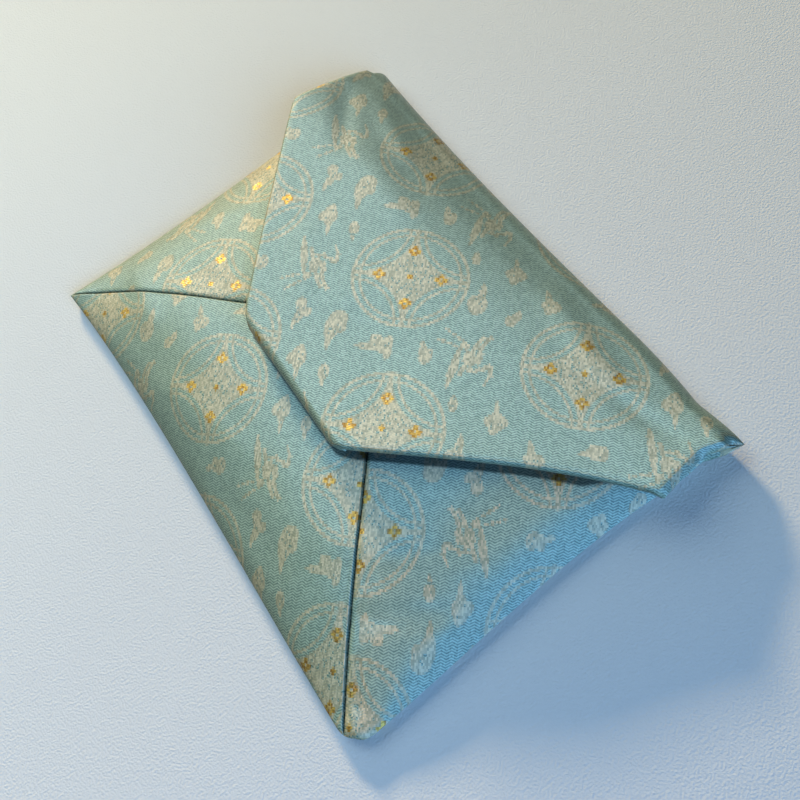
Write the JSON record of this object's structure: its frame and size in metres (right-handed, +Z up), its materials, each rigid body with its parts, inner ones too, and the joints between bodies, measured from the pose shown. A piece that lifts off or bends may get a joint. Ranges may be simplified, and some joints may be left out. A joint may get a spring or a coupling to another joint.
{
  "type": "teaware pouch",
  "caption": "Flat envelope pouch folded from one square of padded silk brocade on the bias, with two sewn diagonal seams and a broad flap.",
  "frame": {"origin": "centre of the footprint, on the surface the pouch lies on", "axes": "+Z up, +X along the flap's fold, +Y from the lower fold to the flap's fold"},
  "size_m": [0.1822, 0.1327, 0.0224],
  "materials": {
    "brocade": "pale aqua silk brocade with fine zigzag ground, cream roundels, cranes and clouds, and gold flowers"
  },
  "bodies": {
    "root": {"pouch_cloth": "brocade"}
  },
  "joints": []
}
